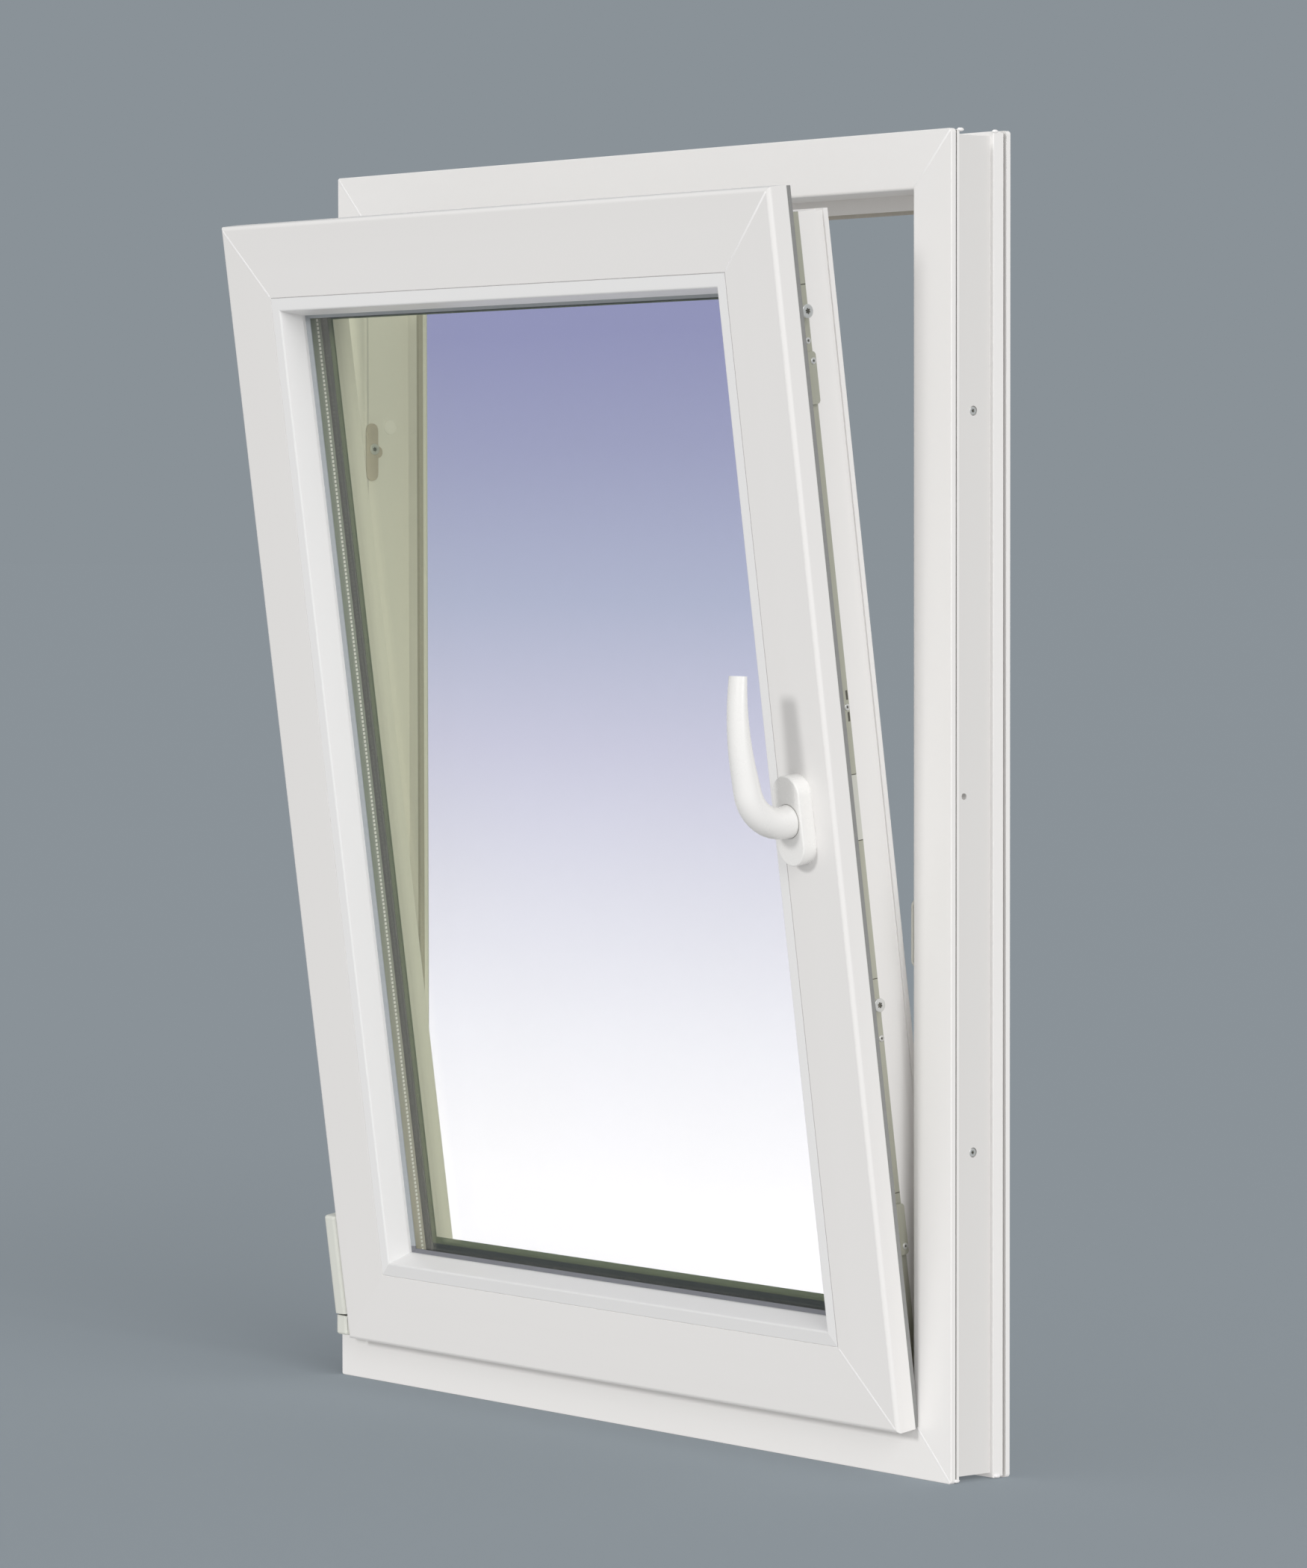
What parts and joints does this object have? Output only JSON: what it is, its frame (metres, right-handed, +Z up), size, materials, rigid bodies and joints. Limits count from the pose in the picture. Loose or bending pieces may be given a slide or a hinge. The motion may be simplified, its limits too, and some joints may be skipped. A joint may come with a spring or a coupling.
{
  "type": "tilt and turn window",
  "caption": "White plastic tilt and turn window, sash tilted into the room, with lever handle, double glazing, hinge covers, top stay and locking gear.",
  "frame": {"origin": "middle of the packer channel's floor in the underside of the sill rail, halfway along the window", "axes": "+X to the right as seen from the room, +Y outwards through the wall, +Z up"},
  "size_m": [0.8, 0.2136, 1.035],
  "materials": {
    "pvc_white": "smooth satin white plastic",
    "seal_grey": "matte grey seal",
    "glass": "clear float glass",
    "spacer_aluminium": "mill finish with pin holes",
    "edge_sealant": "matte black sealant",
    "gear_steel": "passivated steel",
    "handle_white": "satin white powder coat",
    "cover_white": "smooth white plastic caps"
  },
  "bodies": {
    "root": {"bead_bottom": "pvc_white", "bead_left": "pvc_white", "bead_right": "pvc_white", "bead_top": "pvc_white", "bottom_bearing": "gear_steel", "bottom_bearing_cover": "cover_white", "cam_bottom": "gear_steel", "cam_lower": "gear_steel", "cam_upper": "gear_steel", "corner_drive_bottom": "gear_steel", "corner_drive_top": "gear_steel", "edge_seal": "edge_sealant", "faceplate_lower": "gear_steel", "faceplate_middle": "gear_steel", "faceplate_top": "gear_steel", "faceplate_upper": "gear_steel", "frame_gasket": "seal_grey", "frame_head": "pvc_white", "frame_left_jamb": "pvc_white", "frame_right_jamb": "pvc_white", "frame_sill": "pvc_white", "gearbox_plate": "gear_steel", "glass_inner": "glass", "glass_outer": "glass", "glazing_gasket_inner": "seal_grey", "glazing_gasket_outer": "seal_grey", "handle_base": "handle_white", "handle_lever": "handle_white", "keeper_left": "gear_steel", "keeper_right": "gear_steel", "keeper_sill": "gear_steel", "lift_plate": "gear_steel", "sash_bottom_rail": "pvc_white", "sash_gasket": "seal_grey", "sash_hinge": "gear_steel", "sash_hinge_cover": "cover_white", "sash_left_stile": "pvc_white", "sash_right_stile": "pvc_white", "sash_top_rail": "pvc_white", "spacer_bar": "spacer_aluminium", "stay_arm": "gear_steel", "stay_bearing": "gear_steel", "stay_bearing_cover": "cover_white", "stay_link": "gear_steel", "stay_sliders": "gear_steel"}
  },
  "joints": []
}
